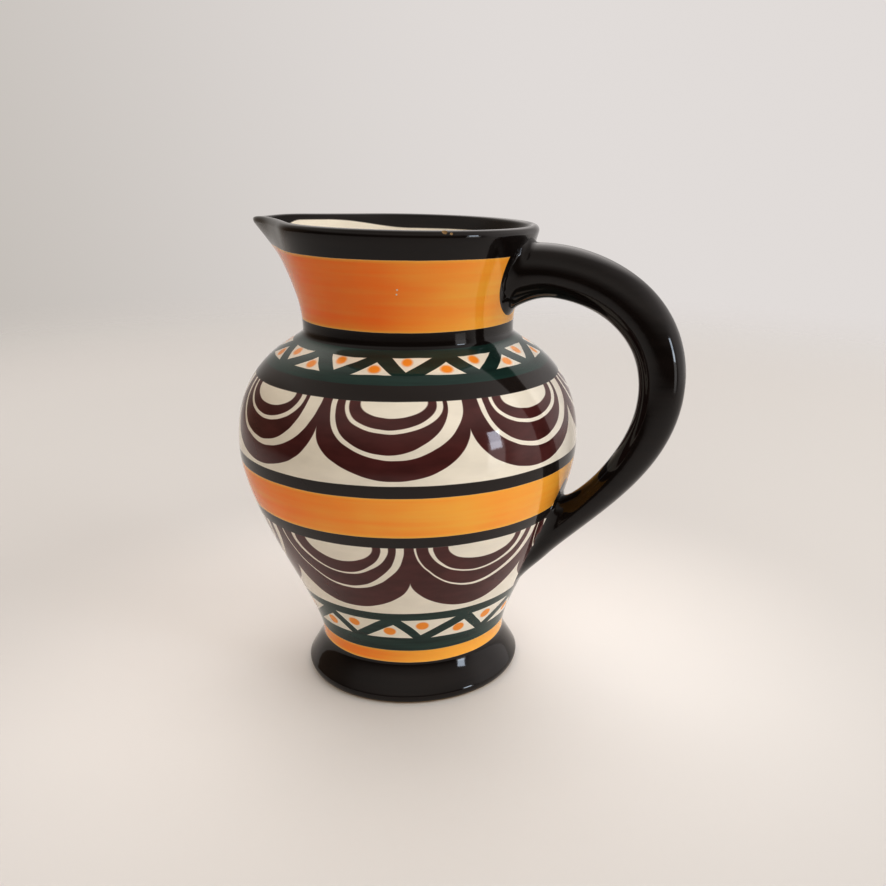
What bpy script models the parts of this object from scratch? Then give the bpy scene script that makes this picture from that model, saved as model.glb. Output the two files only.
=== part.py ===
"""A glazed ceramic jug with a flared foot, a round belly, a pulled pouring lip and a tubular handle.

The foot stands on z = 0 with its centre at the origin. The handle leaves towards +X and the lip pours
towards -X.
"""

import math

import bmesh
import bpy
from mathutils import Vector

MM = 0.001

# Foot and outside of the turned body
UNDERSIDE_RADIUS = 46.0 * MM
FOOT_RADIUS = 48.5 * MM
FOOT_EDGE_HEIGHT = 3.6 * MM
STEM_RADIUS = 41.8 * MM
STEM_HEIGHT = 17.0 * MM
BELLY_RADIUS = 73.8 * MM
BELLY_HEIGHT = 109.0 * MM
THROAT_RADIUS = 44.8 * MM
THROAT_HEIGHT = 156.0 * MM
RIM_RADIUS = 55.2 * MM
RIM_HEIGHT = 200.0 * MM

# How far each outline curve runs straight on from its ends
FOOT_FLARE_PULL = 4.0 * MM
STEM_PULL_DOWN = 3.0 * MM
STEM_PULL_UP = 17.3 * MM
BELLY_PULL_DOWN = 29.7 * MM
BELLY_PULL_UP = 37.5 * MM
THROAT_PULL_DOWN = 5.0 * MM
THROAT_PULL_UP = 13.0 * MM
RIM_PULL = 22.0 * MM
FOOT_FLARE_SLOPE = 0.52
RIM_FLARE_SLOPE = 0.30

# Clay
WALL = 4.5 * MM
FLOOR_THICKNESS = 7.0 * MM
FLOOR_CORNER_RADIUS = 12.0 * MM

# Pouring lip and the slant of the rim
LIP_REACH = 18.8 * MM
LIP_DEPTH = 34.0 * MM
LIP_HALF_ANGLE = math.radians(13.0)
LIP_SPREAD = 0.6
LIP_BELL_POWER = 1.3
LIP_RISE_POWER = 1.2
LIP_PINCH = 1.5 * MM
LIP_PINCH_ANGLE = math.radians(38.0)
LIP_PINCH_SPREAD = math.radians(15.0)
RIM_SLANT = math.radians(0.4)

# Handle
HANDLE_TOP_JOIN_HEIGHT = 181.2 * MM
HANDLE_LOW_JOIN_HEIGHT = 78.0 * MM
HANDLE_OUTERMOST_HEIGHT = 139.6 * MM
FINGER_GAP = 26.4 * MM
HANDLE_TOP_RADIUS = 11.0 * MM
HANDLE_GRIP_RADIUS = 10.5 * MM
HANDLE_TAIL_RADIUS = 6.2 * MM
HANDLE_TAIL_HALF_WIDTH = 8.9 * MM
HANDLE_TIP_RADIUS = 3.5 * MM
HANDLE_ROOT_FLARE = 2.4 * MM
HANDLE_ROOT_FLARE_LENGTH = 5.0 * MM
HANDLE_ROOT_DEPTH = 6.0 * MM
HANDLE_TAIL_LENGTH = 37.0 * MM
HANDLE_TOP_ANGLE = math.radians(16.3)
HANDLE_TAIL_ANGLE = math.radians(56.7)
HANDLE_TOP_PULL = 27.1 * MM
HANDLE_CROWN_PULL = 36.9 * MM
HANDLE_BACK_PULL = 39.6 * MM
HANDLE_TAIL_PULL = 34.0 * MM

# Shares of the handle's length, counted from its upper end
HANDLE_TOP_END = 0.30
HANDLE_WIDENING_START = 0.45
HANDLE_TAPER_END = 0.90

# Glaze
GLAZE_COLOR = (0.72, 0.28, 0.05)
GLAZE_ROUGHNESS = 0.12

# Facets
TURNS = 60
OUTSIDE_FACET = 7.0 * MM
INSIDE_FACET = 11.0 * MM
FINE_FACET = 0.9 * MM
LIP_FACETS = 5
CORNER_FACETS = 4
HANDLE_RINGS = 30
HANDLE_BEVEL_RESOLUTION = 7
MERGE_DISTANCE = 0.05 * MM
SHARP_EDGE_ANGLE = math.radians(40.0)


def clear_scene():
    for item in list(bpy.data.objects):
        bpy.data.objects.remove(item, do_unlink=True)


def new_collection(name):
    collection = bpy.data.collections.new(name)
    bpy.context.scene.collection.children.link(collection)
    return collection


def new_material(name, color, roughness):
    material = bpy.data.materials.new(name)
    material.use_nodes = True
    shader = material.node_tree.nodes["Principled BSDF"]
    shader.inputs["Base Color"].default_value = (*color, 1.0)
    shader.inputs["Roughness"].default_value = roughness
    return material


def smooth_step(value, low, high):
    """A soft step that rises from 0 at the low value to 1 at the high value."""
    share = min(max((value - low) / (high - low), 0.0), 1.0)
    return share * share * (3.0 - 2.0 * share)


def bezier(start, pull_start, pull_end, end, share):
    rest = 1.0 - share
    return (
        start * rest**3
        + pull_start * (3.0 * rest**2 * share)
        + pull_end * (3.0 * rest * share**2)
        + end * share**3
    )


def bezier_points(start, pull_start, pull_end, end, facet):
    """Points on one curve about a facet apart, from the start up to but without the end."""
    length = (pull_start - start).length + (pull_end - pull_start).length + (end - pull_end).length
    count = max(2, round(length / facet))
    return [bezier(start, pull_start, pull_end, end, i / count) for i in range(count)]


def outline(facet):
    """The outer wall from the foot's edge up to the rim, as points of radius and height."""
    foot = Vector((FOOT_RADIUS, FOOT_EDGE_HEIGHT))
    stem = Vector((STEM_RADIUS, STEM_HEIGHT))
    belly = Vector((BELLY_RADIUS, BELLY_HEIGHT))
    throat = Vector((THROAT_RADIUS, THROAT_HEIGHT))
    rim = Vector((RIM_RADIUS, RIM_HEIGHT - WALL / 2))
    up = Vector((0.0, 1.0))
    foot_flare = Vector((-FOOT_FLARE_SLOPE, 1.0))
    rim_flare = Vector((RIM_FLARE_SLOPE, 1.0))
    points = bezier_points(
        foot, foot + foot_flare * FOOT_FLARE_PULL, stem - up * STEM_PULL_DOWN, stem, facet / 2
    )
    points += bezier_points(
        stem, stem + up * STEM_PULL_UP, belly - up * BELLY_PULL_DOWN, belly, facet
    )
    points += bezier_points(
        belly, belly + up * BELLY_PULL_UP, throat - up * THROAT_PULL_DOWN, throat, facet
    )
    points += bezier_points(
        throat, throat + up * THROAT_PULL_UP, rim - rim_flare * RIM_PULL, rim, facet
    )
    return points + [rim]


def inward_normals(points):
    normals = []
    last = len(points) - 1
    for i in range(len(points)):
        run = points[min(i + 1, last)] - points[max(i - 1, 0)]
        normals.append(Vector((-run.y, run.x)).normalized())
    return normals


def offset_outline(distance, facet):
    """The outline moved into the wall, from the stem's height upwards."""
    points = outline(facet)
    moved = [p + n * distance for p, n in zip(points, inward_normals(points))]
    return [p for p in moved if p.y > STEM_HEIGHT]


def outer_radius(height):
    """Radius of the outer wall at one height."""
    points = outline(FINE_FACET)
    for low, high in zip(points, points[1:]):
        if low.y <= height <= high.y:
            share = (height - low.y) / (high.y - low.y)
            return low.x + (high.x - low.x) * share
    return points[-1].x


def foot_edge_points():
    """The rounded edge between the foot's side and its flat underside, from the side down."""
    points = []
    for i in range(1, CORNER_FACETS + 1):
        angle = math.pi / 2 * i / CORNER_FACETS
        radius = UNDERSIDE_RADIUS + (FOOT_RADIUS - UNDERSIDE_RADIUS) * math.cos(angle)
        points.append(Vector((radius, FOOT_EDGE_HEIGHT * (1.0 - math.sin(angle)))))
    return points


def floor_corner_points(side_radius):
    """The inner floor from its centre out to the rounded corner below the side wall."""
    centre = Vector((side_radius - FLOOR_CORNER_RADIUS, FLOOR_THICKNESS + FLOOR_CORNER_RADIUS))
    points = [Vector((0.0, FLOOR_THICKNESS))]
    for i in range(CORNER_FACETS):
        angle = math.pi / 2 * i / CORNER_FACETS
        offset = Vector((math.sin(angle), -math.cos(angle))) * FLOOR_CORNER_RADIUS
        points.append(centre + offset)
    return points


def rim_arc_points():
    """The rounded top of the rim from its inner side over to its outer side."""
    points = outline(OUTSIDE_FACET)
    inward = inward_normals(points)[-1]
    along = Vector((inward.y, -inward.x))
    centre = points[-1] + inward * (WALL / 2)
    arc = []
    for i in range(1, LIP_FACETS):
        angle = math.pi * i / LIP_FACETS
        arc.append(centre + (inward * math.cos(angle) + along * math.sin(angle)) * (WALL / 2))
    return arc


def wall_profile():
    """Closed section of the clay, from the inner floor up, over the rim and down the outside."""
    inside = offset_outline(WALL, INSIDE_FACET)
    outside = outline(OUTSIDE_FACET)
    profile = floor_corner_points(STEM_RADIUS - WALL) + inside
    profile += rim_arc_points() + outside[::-1] + foot_edge_points()
    return profile + [Vector((0.0, 0.0))]


def core_profile():
    """Section of a solid that ends midway through the wall, from its top down to its bottom."""
    middle = offset_outline(WALL / 2, INSIDE_FACET)
    top = Vector((0.0, middle[-1].y))
    bottom = Vector((middle[0].x, FLOOR_THICKNESS / 2))
    return [top] + middle[::-1] + [bottom, Vector((0.0, bottom.y))]


def turned_object(name, profile, collection):
    """A profile turned about the Z axis."""
    mesh = bpy.data.meshes.new(name)
    vertices = [(p.x, 0.0, p.y) for p in profile]
    edges = [(i, i + 1) for i in range(len(profile) - 1)]
    mesh.from_pydata(vertices, edges, [])
    turned = bpy.data.objects.new(name, mesh)
    collection.objects.link(turned)
    screw = turned.modifiers.new("Turn", "SCREW")
    screw.steps = TURNS
    screw.render_steps = TURNS
    screw.use_merge_vertices = True
    screw.merge_threshold = MERGE_DISTANCE
    return turned


def applied(source):
    """The object with its modifiers applied, or a curve turned into a mesh."""
    depsgraph = bpy.context.evaluated_depsgraph_get()
    mesh = bpy.data.meshes.new_from_object(source.evaluated_get(depsgraph))
    result = bpy.data.objects.new(source.name + ".mesh", mesh)
    result.matrix_world = source.matrix_world
    source.users_collection[0].objects.link(result)
    name = source.name
    bpy.data.objects.remove(source, do_unlink=True)
    result.name = name
    return result


def weld(mesh):
    """Join the vertices that lie on one spot."""
    builder = bmesh.new()
    builder.from_mesh(mesh)
    bmesh.ops.remove_doubles(builder, verts=builder.verts, dist=MERGE_DISTANCE)
    builder.to_mesh(mesh)
    builder.free()


def lip_pull(angle, height):
    """How far the pouring lip moves the wall outwards, angle measured from -X."""
    bottom = RIM_HEIGHT - LIP_DEPTH
    rise = max(height - bottom, 0.0) / LIP_DEPTH
    half_angle = LIP_HALF_ANGLE * (1.0 + LIP_SPREAD * max(1.0 - rise, 0.0))
    bell = math.exp(-((abs(angle) / half_angle) ** LIP_BELL_POWER))
    pinch = math.exp(-(((abs(angle) - LIP_PINCH_ANGLE) / LIP_PINCH_SPREAD) ** 2))
    return rise**LIP_RISE_POWER * (LIP_REACH * bell - LIP_PINCH * pinch)


def shape_rim(mesh):
    """Pull out the pouring lip and raise the rim towards it."""
    for vertex in mesh.vertices:
        place = vertex.co
        radius = math.hypot(place.x, place.y)
        if radius > MERGE_DISTANCE:
            angle = math.atan2(place.y, -place.x)
            stretch = 1.0 + lip_pull(angle, place.z) / radius
            place.x *= stretch
            place.y *= stretch
        slanting = smooth_step(place.z, THROAT_HEIGHT, RIM_HEIGHT)
        place.z -= place.x * math.tan(RIM_SLANT) * slanting


def handle_line():
    """Centre line of the handle from the neck over the crown down to the belly, in the XZ plane."""
    top_x = outer_radius(HANDLE_TOP_JOIN_HEIGHT) - HANDLE_ROOT_DEPTH
    low_join = Vector((outer_radius(HANDLE_LOW_JOIN_HEIGHT), HANDLE_LOW_JOIN_HEIGHT))
    reach = BELLY_RADIUS + FINGER_GAP + HANDLE_GRIP_RADIUS
    top = Vector((top_x, HANDLE_TOP_JOIN_HEIGHT))
    back = Vector((reach, HANDLE_OUTERMOST_HEIGHT))
    up = Vector((0.0, 1.0))
    top_way = Vector((math.cos(HANDLE_TOP_ANGLE), math.sin(HANDLE_TOP_ANGLE)))
    tail_way = Vector((math.cos(HANDLE_TAIL_ANGLE), math.sin(HANDLE_TAIL_ANGLE)))
    tail = low_join - tail_way * HANDLE_TAIL_LENGTH
    half = HANDLE_RINGS // 2
    crown = [
        bezier(top, top + top_way * HANDLE_TOP_PULL, back + up * HANDLE_CROWN_PULL, back, i / half)
        for i in range(half)
    ]
    rest = [
        bezier(back, back - up * HANDLE_BACK_PULL, tail + tail_way * HANDLE_TAIL_PULL, tail, i / half)
        for i in range(half + 1)
    ]
    return crown + rest


def handle_radius(place, share):
    """Half the handle's thickness in its own plane."""
    radius = HANDLE_TOP_RADIUS
    radius += (HANDLE_GRIP_RADIUS - HANDLE_TOP_RADIUS) * smooth_step(share, 0.0, HANDLE_TOP_END)
    taper = smooth_step(share, HANDLE_TOP_END, HANDLE_TAPER_END)
    radius += (HANDLE_TAIL_RADIUS - HANDLE_GRIP_RADIUS) * taper
    radius += (HANDLE_TIP_RADIUS - HANDLE_TAIL_RADIUS) * smooth_step(share, HANDLE_TAPER_END, 1.0)
    gap = max(place.x - outer_radius(HANDLE_TOP_JOIN_HEIGHT), 0.0)
    if share < HANDLE_TOP_END:
        radius += HANDLE_ROOT_FLARE * math.exp(-gap / HANDLE_ROOT_FLARE_LENGTH)
    return radius


def handle_object(collection):
    """A tube along the handle's line, wider than it is thick towards its lower end."""
    line = handle_line()
    last = len(line) - 1
    curve = bpy.data.curves.new("handle", "CURVE")
    curve.dimensions = "3D"
    curve.bevel_depth = HANDLE_GRIP_RADIUS
    curve.bevel_resolution = HANDLE_BEVEL_RESOLUTION
    curve.use_fill_caps = True
    spline = curve.splines.new("POLY")
    spline.points.add(last)
    for i, place in enumerate(line):
        spline.points[i].co = (place.x, 0.0, place.y, 1.0)
        spline.points[i].radius = handle_radius(place, i / last) / HANDLE_GRIP_RADIUS
    tube = bpy.data.objects.new("handle", curve)
    collection.objects.link(tube)
    handle = applied(tube)
    weld(handle.data)
    widening = HANDLE_TAIL_HALF_WIDTH / HANDLE_TAIL_RADIUS - 1.0
    for vertex in handle.data.vertices:
        place = Vector((vertex.co.x, vertex.co.z))
        nearest = min(range(last + 1), key=lambda i: (line[i] - place).length)
        widened = smooth_step(nearest / last, HANDLE_WIDENING_START, HANDLE_TAPER_END)
        vertex.co.y *= 1.0 + widening * widened
    return handle


def add_boolean(target, cutter, operation):
    boolean = target.modifiers.new(operation.title(), "BOOLEAN")
    boolean.operation = operation
    boolean.solver = "EXACT"
    boolean.object = cutter
    cutter.hide_render = True
    cutter.display_type = "WIRE"


def build_jug(parts, cutters):
    """The turned wall with its lip, joined to a handle that ends inside the wall."""
    jug = applied(turned_object("jug", wall_profile(), parts))
    core = applied(turned_object("core", core_profile(), cutters))
    shape_rim(jug.data)
    shape_rim(core.data)
    handle = handle_object(cutters)
    add_boolean(handle, core, "DIFFERENCE")
    add_boolean(jug, handle, "UNION")
    glaze = new_material("jug_glaze", GLAZE_COLOR, GLAZE_ROUGHNESS)
    jug.data.materials.append(glaze)
    handle.data.materials.append(glaze)
    jug.data.shade_smooth()
    jug.data.set_sharp_from_angle(angle=SHARP_EDGE_ANGLE)


def main():
    clear_scene()
    parts = new_collection("ceramic_jug")
    cutters = new_collection("cutters")
    build_jug(parts, cutters)


main()
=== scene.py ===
"""A hand-painted, glazed ceramic jug on a plain pale stage.

The body is thrown ring by ring, its lip is pulled, the handle is joined on and the whole jug is painted
and glazed. The jug stands on z = 0, the handle leaves towards +X and the lip pours towards -X.
"""

import math

import bpy
from bpy.props import FloatProperty, FloatVectorProperty, IntProperty, PointerProperty
from mathutils import Matrix, Vector


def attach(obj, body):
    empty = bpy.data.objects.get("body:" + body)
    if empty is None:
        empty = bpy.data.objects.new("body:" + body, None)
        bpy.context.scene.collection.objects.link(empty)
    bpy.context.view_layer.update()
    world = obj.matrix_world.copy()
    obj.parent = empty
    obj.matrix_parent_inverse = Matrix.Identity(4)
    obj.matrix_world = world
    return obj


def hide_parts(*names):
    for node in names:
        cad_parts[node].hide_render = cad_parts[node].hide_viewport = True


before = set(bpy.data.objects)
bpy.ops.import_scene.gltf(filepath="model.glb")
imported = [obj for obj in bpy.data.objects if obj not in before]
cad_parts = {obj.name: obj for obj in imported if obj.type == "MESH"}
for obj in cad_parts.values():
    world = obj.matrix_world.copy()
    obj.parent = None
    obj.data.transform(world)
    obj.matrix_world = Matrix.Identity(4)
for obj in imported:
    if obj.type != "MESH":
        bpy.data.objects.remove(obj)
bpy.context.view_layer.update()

bl_info = {
    "name": "Ceramic Jug",
    "version": (1, 0, 0),
    "blender": (4, 5, 0),
    "location": "3D View > Sidebar > Jug",
    "description": "Throws, joins, paints and glazes a ceramic jug and sets its stage",
    "category": "Object",
}

MM = 0.001


def linear(hex_colour):
    """The linear values of an sRGB hex colour."""
    channels = [int(hex_colour[i : i + 2], 16) / 255 for i in (1, 3, 5)]
    return [c / 12.92 if c <= 0.04045 else ((c + 0.055) / 1.055) ** 2.4 for c in channels]


def length(name, description, default_mm):
    """A size in metres that a user may change."""
    return FloatProperty(name=name, description=description, default=default_mm * MM, unit="LENGTH")


def turn(name, description, default_deg):
    """An angle that a user may change."""
    return FloatProperty(
        name=name, description=description, default=math.radians(default_deg), unit="ROTATION"
    )


def paint(name, description, hex_colour):
    """A colour that a user may change."""
    return FloatVectorProperty(
        name=name, description=description, default=linear(hex_colour), subtype="COLOR", min=0, max=1
    )


def power(name, description, default_w):
    """The power of a light that a user may change."""
    return FloatProperty(name=name, description=description, default=default_w, unit="POWER")


class JugBody(bpy.types.PropertyGroup):
    """Sizes of the thrown body and its lip"""

    underside_radius: length("Underside radius", "Flat face the jug stands on", 46.0)
    foot_radius: length("Foot radius", "Widest part of the flared foot", 48.5)
    foot_edge: length("Foot edge", "Height of the foot's rounded edge", 3.6)
    stem_radius: length("Stem radius", "Narrowest part above the foot", 41.8)
    stem_height: length("Stem height", "Height of the narrowest part above the foot", 17.0)
    belly_radius: length("Belly radius", "Widest part of the belly", 73.8)
    belly_height: length("Belly height", "Height of the widest part", 109.0)
    throat_radius: length("Throat radius", "Narrowest part of the neck", 44.8)
    throat_height: length("Throat height", "Height of the narrowest part of the neck", 156.0)
    rim_radius: length("Rim radius", "Outside of the rim", 55.2)
    rim_height: length("Rim height", "Height of the rim", 200.0)
    wall: length("Wall", "Thickness of the clay", 4.5)
    floor: length("Floor", "Thickness of the clay under the hollow", 7.0)
    floor_corner: length("Floor corner", "Rounding between the inner floor and the wall", 12.0)
    lip_reach: length("Lip reach", "How far the pouring lip stands out", 17.9)
    lip_depth: length("Lip depth", "How far down the neck the lip starts", 34.0)
    lip_angle: turn("Lip half angle", "Half the width of the lip at the rim", 13.0)
    rim_slant: turn("Rim slant", "How much the rim rises towards the lip", 0.4)
    turns: IntProperty(name="Turns", description="Faces round the body", default=192, min=24)


class JugHandle(bpy.types.PropertyGroup):
    """Sizes of the pulled handle"""

    top_join: length("Upper join height", "Where the handle leaves the neck", 181.2)
    low_join: length("Lower join height", "Where the handle meets the belly", 78.0)
    outermost: length("Outermost height", "Height of the point furthest out", 139.6)
    finger_gap: length("Finger gap", "Room between the belly and the grip", 26.4)
    top_radius: length("Upper radius", "Half the thickness at the neck", 11.0)
    grip_radius: length("Grip radius", "Half the thickness at the grip", 10.5)
    tail_radius: length("Tail radius", "Half the thickness where the tail meets the belly", 6.2)
    tail_half_width: length("Tail half width", "Half the width of the flattened tail", 8.9)
    tip_radius: length("Tip radius", "Half the thickness of the tail's tip", 3.5)
    upper_fillet: length("Upper fillet", "Clay smoothed round the upper join", 3.0)
    upper_flare: length("Upper flare", "How much the root thickens on its underside", 5.0)
    flare_length: length("Flare length", "How far out the upper root thickens", 18.0)
    lower_fillet: length("Lower fillet", "Clay smoothed beside the lower join", 2.0)
    tail_fillet: length("Tail fillet", "Clay smoothed out under the tail", 9.0)
    crotch_fillet: length("Crotch fillet", "Clay smoothed in between belly and handle", 14.0)


class JugPaint(bpy.types.PropertyGroup):
    """Colours of the paints under the clear glaze"""

    black: paint("Black", "Foot, rim, handle and lines", "#17110f")
    cream: paint("Cream", "Ground of the patterns and the inside", "#ede6d8")
    orange: paint("Orange", "Broad bands, where the paint is thick", "#f87f17")
    # Amber is also painted light where the orange bands face the key light
    amber: paint("Amber", "Broad bands, where the paint is thin", "#f4b64e")
    aubergine: paint("Aubergine", "Festoons", "#502b29")
    green: paint("Green", "Zones behind the triangles", "#29423c")
    line: paint("Line", "Thin black lines between the zones", "#2b2421")
    dot: paint("Dots", "Dots in the triangles", "#f09c3c")
    clay: paint("Bare clay", "Unglazed underside and the chips in the rim", "#a58a66")


class JugStage(bpy.types.PropertyGroup):
    """The stage round the jug"""

    ground: paint("Floor", "Pale floor", "#e8e6e4")
    wall: paint("Wall", "Bright part of the room", "#dcd8d6")
    dull_wall: paint("Dull wall", "Wall farther from the key light", "#bdb8b2")
    shade: paint("Shade", "Dim part of the room", "#463c34")
    brown: paint("Brown", "Warm dim corner on the left", "#7d6a58")
    dull_side: turn("Dull side", "Azimuth of the room's dull side", -120.0)
    brown_side: turn("Brown side", "Azimuth of the warm dim corner", -170.0)
    dark_side: turn("Dark side", "Azimuth of the dim part", -80.0)
    room: FloatProperty(name="Room light", description="Strength of the room's light", default=1.0)
    key: power("Key light", "Power of the small bright light that the glaze mirrors", 6.0)
    veil: power("Veil", "Power of the dim light under the key light", 2.5)
    side: power("Side light", "Power of the soft side light", 13.5)
    fill: power("Fill light", "Power of the light in front", 13.0)
    glow: power("Glow", "Power of the low warm light", 2.0)
    lens: FloatProperty(name="Lens", description="Focal length of the camera", default=39.2, unit="CAMERA")


# How far each curve of the outline runs straight on from its ends, and the slopes at its two ends
FOOT_PULL = 4.0 * MM
STEM_PULLS = (3.0 * MM, 17.3 * MM)
BELLY_PULLS = (29.7 * MM, 37.5 * MM)
THROAT_PULLS = (5.0 * MM, 13.0 * MM)
RIM_PULL = 22.0 * MM
FOOT_SLOPE = 0.52
RIM_SLOPE = 0.30

# How far apart the rings of the wall lie, how many steps go round the foot's edge, the rim and the corner of
# the inner floor, where that floor has rings, as shares of its width, and how fine the core and gauge are
OUTER_FACET = 2.0 * MM
INNER_FACET = 4.0 * MM
FOOT_STEPS = 8
RIM_STEPS = 12
CORNER_STEPS = 8
FLOOR_RINGS = (0.66, 0.33)
CORE_TURNS = 96
GAUGE_FACET = 0.5 * MM

# The lip: how narrow its bell is against its half angle, by what share it widens towards its lower end, how
# sharply it falls off sideways and rises up the neck, how blunt its tip is and how far the tip droops
LIP_BELL = 0.9
LIP_SPREAD = 0.6
LIP_POWERS = (1.3, 1.2)
LIP_TIP = math.radians(3.0)
LIP_DROOP = 1.2 * MM
LIP_DROOP_ANGLE = math.radians(7.0)

# The rim is pinched in beside the lip
PINCH = 1.5 * MM
PINCH_ANGLE = math.radians(38.0)
PINCH_SPREAD = math.radians(15.0)

# The handle's curve: how deep its root starts in the wall, how far its tail runs on to the belly, which way
# both ends go, and how far each half runs straight on from its ends
ROOT_DEPTH = 6.0 * MM
TAIL_LENGTH = 37.0 * MM
TOP_WAY = Vector((math.cos(math.radians(16.3)), math.sin(math.radians(16.3))))
TAIL_WAY = Vector((math.cos(math.radians(56.7)), math.sin(math.radians(56.7))))
HANDLE_PULLS = (27.1 * MM, 36.9 * MM, 39.6 * MM, 34.0 * MM)
CROTCH_WAY = Vector((-TAIL_WAY.y, 0.0, TAIL_WAY.x))

# Shares of the handle's length: where its thickness changes, where the tail is flattened, where the upper
# root ends and where the lower root begins. Then how many rings it has and how finely each is rounded
THINNING = (0.0, 0.3, 0.9, 1.0)
FLATTENING = (0.45, 0.9)
UPPER_ROOT_END = 0.25
LOWER_ROOT_START = 0.7
HANDLE_RINGS = 120
HANDLE_BEVEL = 15

UP = Vector((0.0, 1.0))


def smooth_step(value, low, high):
    """0 below one value, 1 above another and a smooth rise between."""
    share = min(max((value - low) / (high - low), 0.0), 1.0)
    return share * share * (3.0 - 2.0 * share)


def bezier(start, pull_start, pull_end, end, share):
    """The point at a share of a curve that leaves its ends towards two pulls."""
    rest = 1.0 - share
    return (
        start * rest**3
        + pull_start * (3.0 * rest**2 * share)
        + pull_end * (3.0 * rest * share**2)
        + end * share**3
    )


def outline(body, facet):
    """The outer wall from the foot's edge up to the rim, as points of radius and height."""
    foot = Vector((body.foot_radius, body.foot_edge))
    stem = Vector((body.stem_radius, body.stem_height))
    belly = Vector((body.belly_radius, body.belly_height))
    throat = Vector((body.throat_radius, body.throat_height))
    rim = Vector((body.rim_radius, body.rim_height - body.wall / 2))
    curves = (
        (foot, foot + Vector((-FOOT_SLOPE, 1.0)) * FOOT_PULL, stem - UP * STEM_PULLS[0], stem, 0.5),
        (stem, stem + UP * STEM_PULLS[1], belly - UP * BELLY_PULLS[0], belly, 1.0),
        (belly, belly + UP * BELLY_PULLS[1], throat - UP * THROAT_PULLS[0], throat, 1.0),
        (throat, throat + UP * THROAT_PULLS[1], rim - Vector((RIM_SLOPE, 1.0)) * RIM_PULL, rim, 1.0),
    )
    points = []
    for start, pull_start, pull_end, end, fineness in curves:
        run = (pull_start - start).length + (pull_end - pull_start).length + (end - pull_end).length
        count = max(4, round(run / (facet * fineness)))
        points += [bezier(start, pull_start, pull_end, end, i / count) for i in range(count)]
    return points + [rim]


def inward_normals(points):
    """At each point of the outline, the direction into the wall."""
    last = len(points) - 1
    runs = [points[min(i + 1, last)] - points[max(i - 1, 0)] for i in range(last + 1)]
    return [Vector((-run.y, run.x)).normalized() for run in runs]


def inner_outline(body, distance, facet):
    """The outline moved into the wall, from the stem upwards."""
    points = outline(body, facet)
    moved = [p + n * distance for p, n in zip(points, inward_normals(points))]
    return [p for p in moved if p.y > body.stem_height]


def wall_rings(body):
    """Rings of radius and height from the underside over the rim to the inner floor."""
    rings = [Vector((body.underside_radius, 0.0))]
    for i in range(1, FOOT_STEPS):
        angle = math.pi / 2 * i / FOOT_STEPS
        flare = (body.foot_radius - body.underside_radius) * math.sin(angle)
        rings.append(Vector((body.underside_radius + flare, body.foot_edge * (1.0 - math.cos(angle)))))
    outside = outline(body, OUTER_FACET)
    inward = inward_normals(outside)[-1]
    along = Vector((inward.y, -inward.x))
    centre = outside[-1] + inward * (body.wall / 2)
    rings += outside
    for i in range(1, RIM_STEPS):
        angle = math.pi * i / RIM_STEPS
        rings.append(centre + (along * math.sin(angle) - inward * math.cos(angle)) * (body.wall / 2))
    rings += inner_outline(body, body.wall, INNER_FACET)[::-1]
    corner = body.floor_corner
    centre = Vector((body.stem_radius - body.wall - corner, body.floor + corner))
    for i in range(CORNER_STEPS + 1):
        angle = math.pi / 2 * i / CORNER_STEPS
        rings.append(centre + Vector((math.cos(angle), -math.sin(angle))) * corner)
    return rings + [Vector((centre.x * share, body.floor)) for share in FLOOR_RINGS]


def core_rings(body):
    """Rings of a solid that ends midway through the wall."""
    middle = inner_outline(body, body.wall / 2, INNER_FACET)
    top = Vector((middle[-1].x / 2, middle[-1].y))
    return [Vector((middle[0].x, body.floor / 2))] + middle + [top]


def thrown(name, rings, turns):
    """A closed form raised through its rings, as clay is raised on a wheel."""
    bpy.ops.object.select_all(action="DESELECT")
    bpy.ops.mesh.primitive_circle_add(vertices=turns, radius=rings[0].x, fill_type="TRIFAN")
    form = bpy.context.object
    form.name = name
    bpy.ops.object.mode_set(mode="EDIT")
    bpy.ops.mesh.select_mode(type="EDGE")
    bpy.ops.transform.translate(value=(0.0, 0.0, rings[0].y))
    bpy.ops.mesh.select_all(action="DESELECT")
    bpy.ops.mesh.select_non_manifold()
    for below, above in zip(rings, rings[1:]):
        bpy.ops.mesh.extrude_edges_move(TRANSFORM_OT_translate={"value": (0.0, 0.0, above.y - below.y)})
        share = above.x / below.x
        bpy.ops.transform.resize(value=(share, share, 1.0), center_override=(0.0, 0.0, 0.0))
    bpy.ops.mesh.merge(type="CENTER")
    bpy.ops.mesh.select_all(action="SELECT")
    bpy.ops.mesh.normals_make_consistent(inside=False)
    bpy.ops.object.mode_set(mode="OBJECT")
    return form


def lip_pull(body, angle, height):
    """How far the fingers pull the wall outwards, with the angle measured from -X."""
    rise = max(height - body.rim_height + body.lip_depth, 0.0) / body.lip_depth
    half_angle = LIP_BELL * body.lip_angle * (1.0 + LIP_SPREAD * max(1.0 - rise, 0.0))
    rounded = math.hypot(angle, LIP_TIP) - LIP_TIP
    bell = math.exp(-((rounded / half_angle) ** LIP_POWERS[0]))
    pinch = math.exp(-(((abs(angle) - PINCH_ANGLE) / PINCH_SPREAD) ** 2))
    return rise ** LIP_POWERS[1] * (body.lip_reach * bell - PINCH * pinch)


def pull_lip(body, form):
    """Pull out the lip and slant the rim. Fingers shape it freely, so the points are moved one by one."""
    for vertex in form.data.vertices:
        place = vertex.co
        radius = math.hypot(place.x, place.y)
        if radius > 0.1 * MM:
            angle = math.atan2(place.y, -place.x)
            stretch = 1.0 + lip_pull(body, angle, place.z) / radius
            place.x *= stretch
            place.y *= stretch
            rise = smooth_step(place.z, body.rim_height - body.lip_depth, body.rim_height)
            place.z -= LIP_DROOP * rise * math.exp(-((angle / LIP_DROOP_ANGLE) ** 2))
        slanted = smooth_step(place.z, body.throat_height, body.rim_height)
        place.z -= place.x * math.tan(body.rim_slant) * slanted


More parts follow.
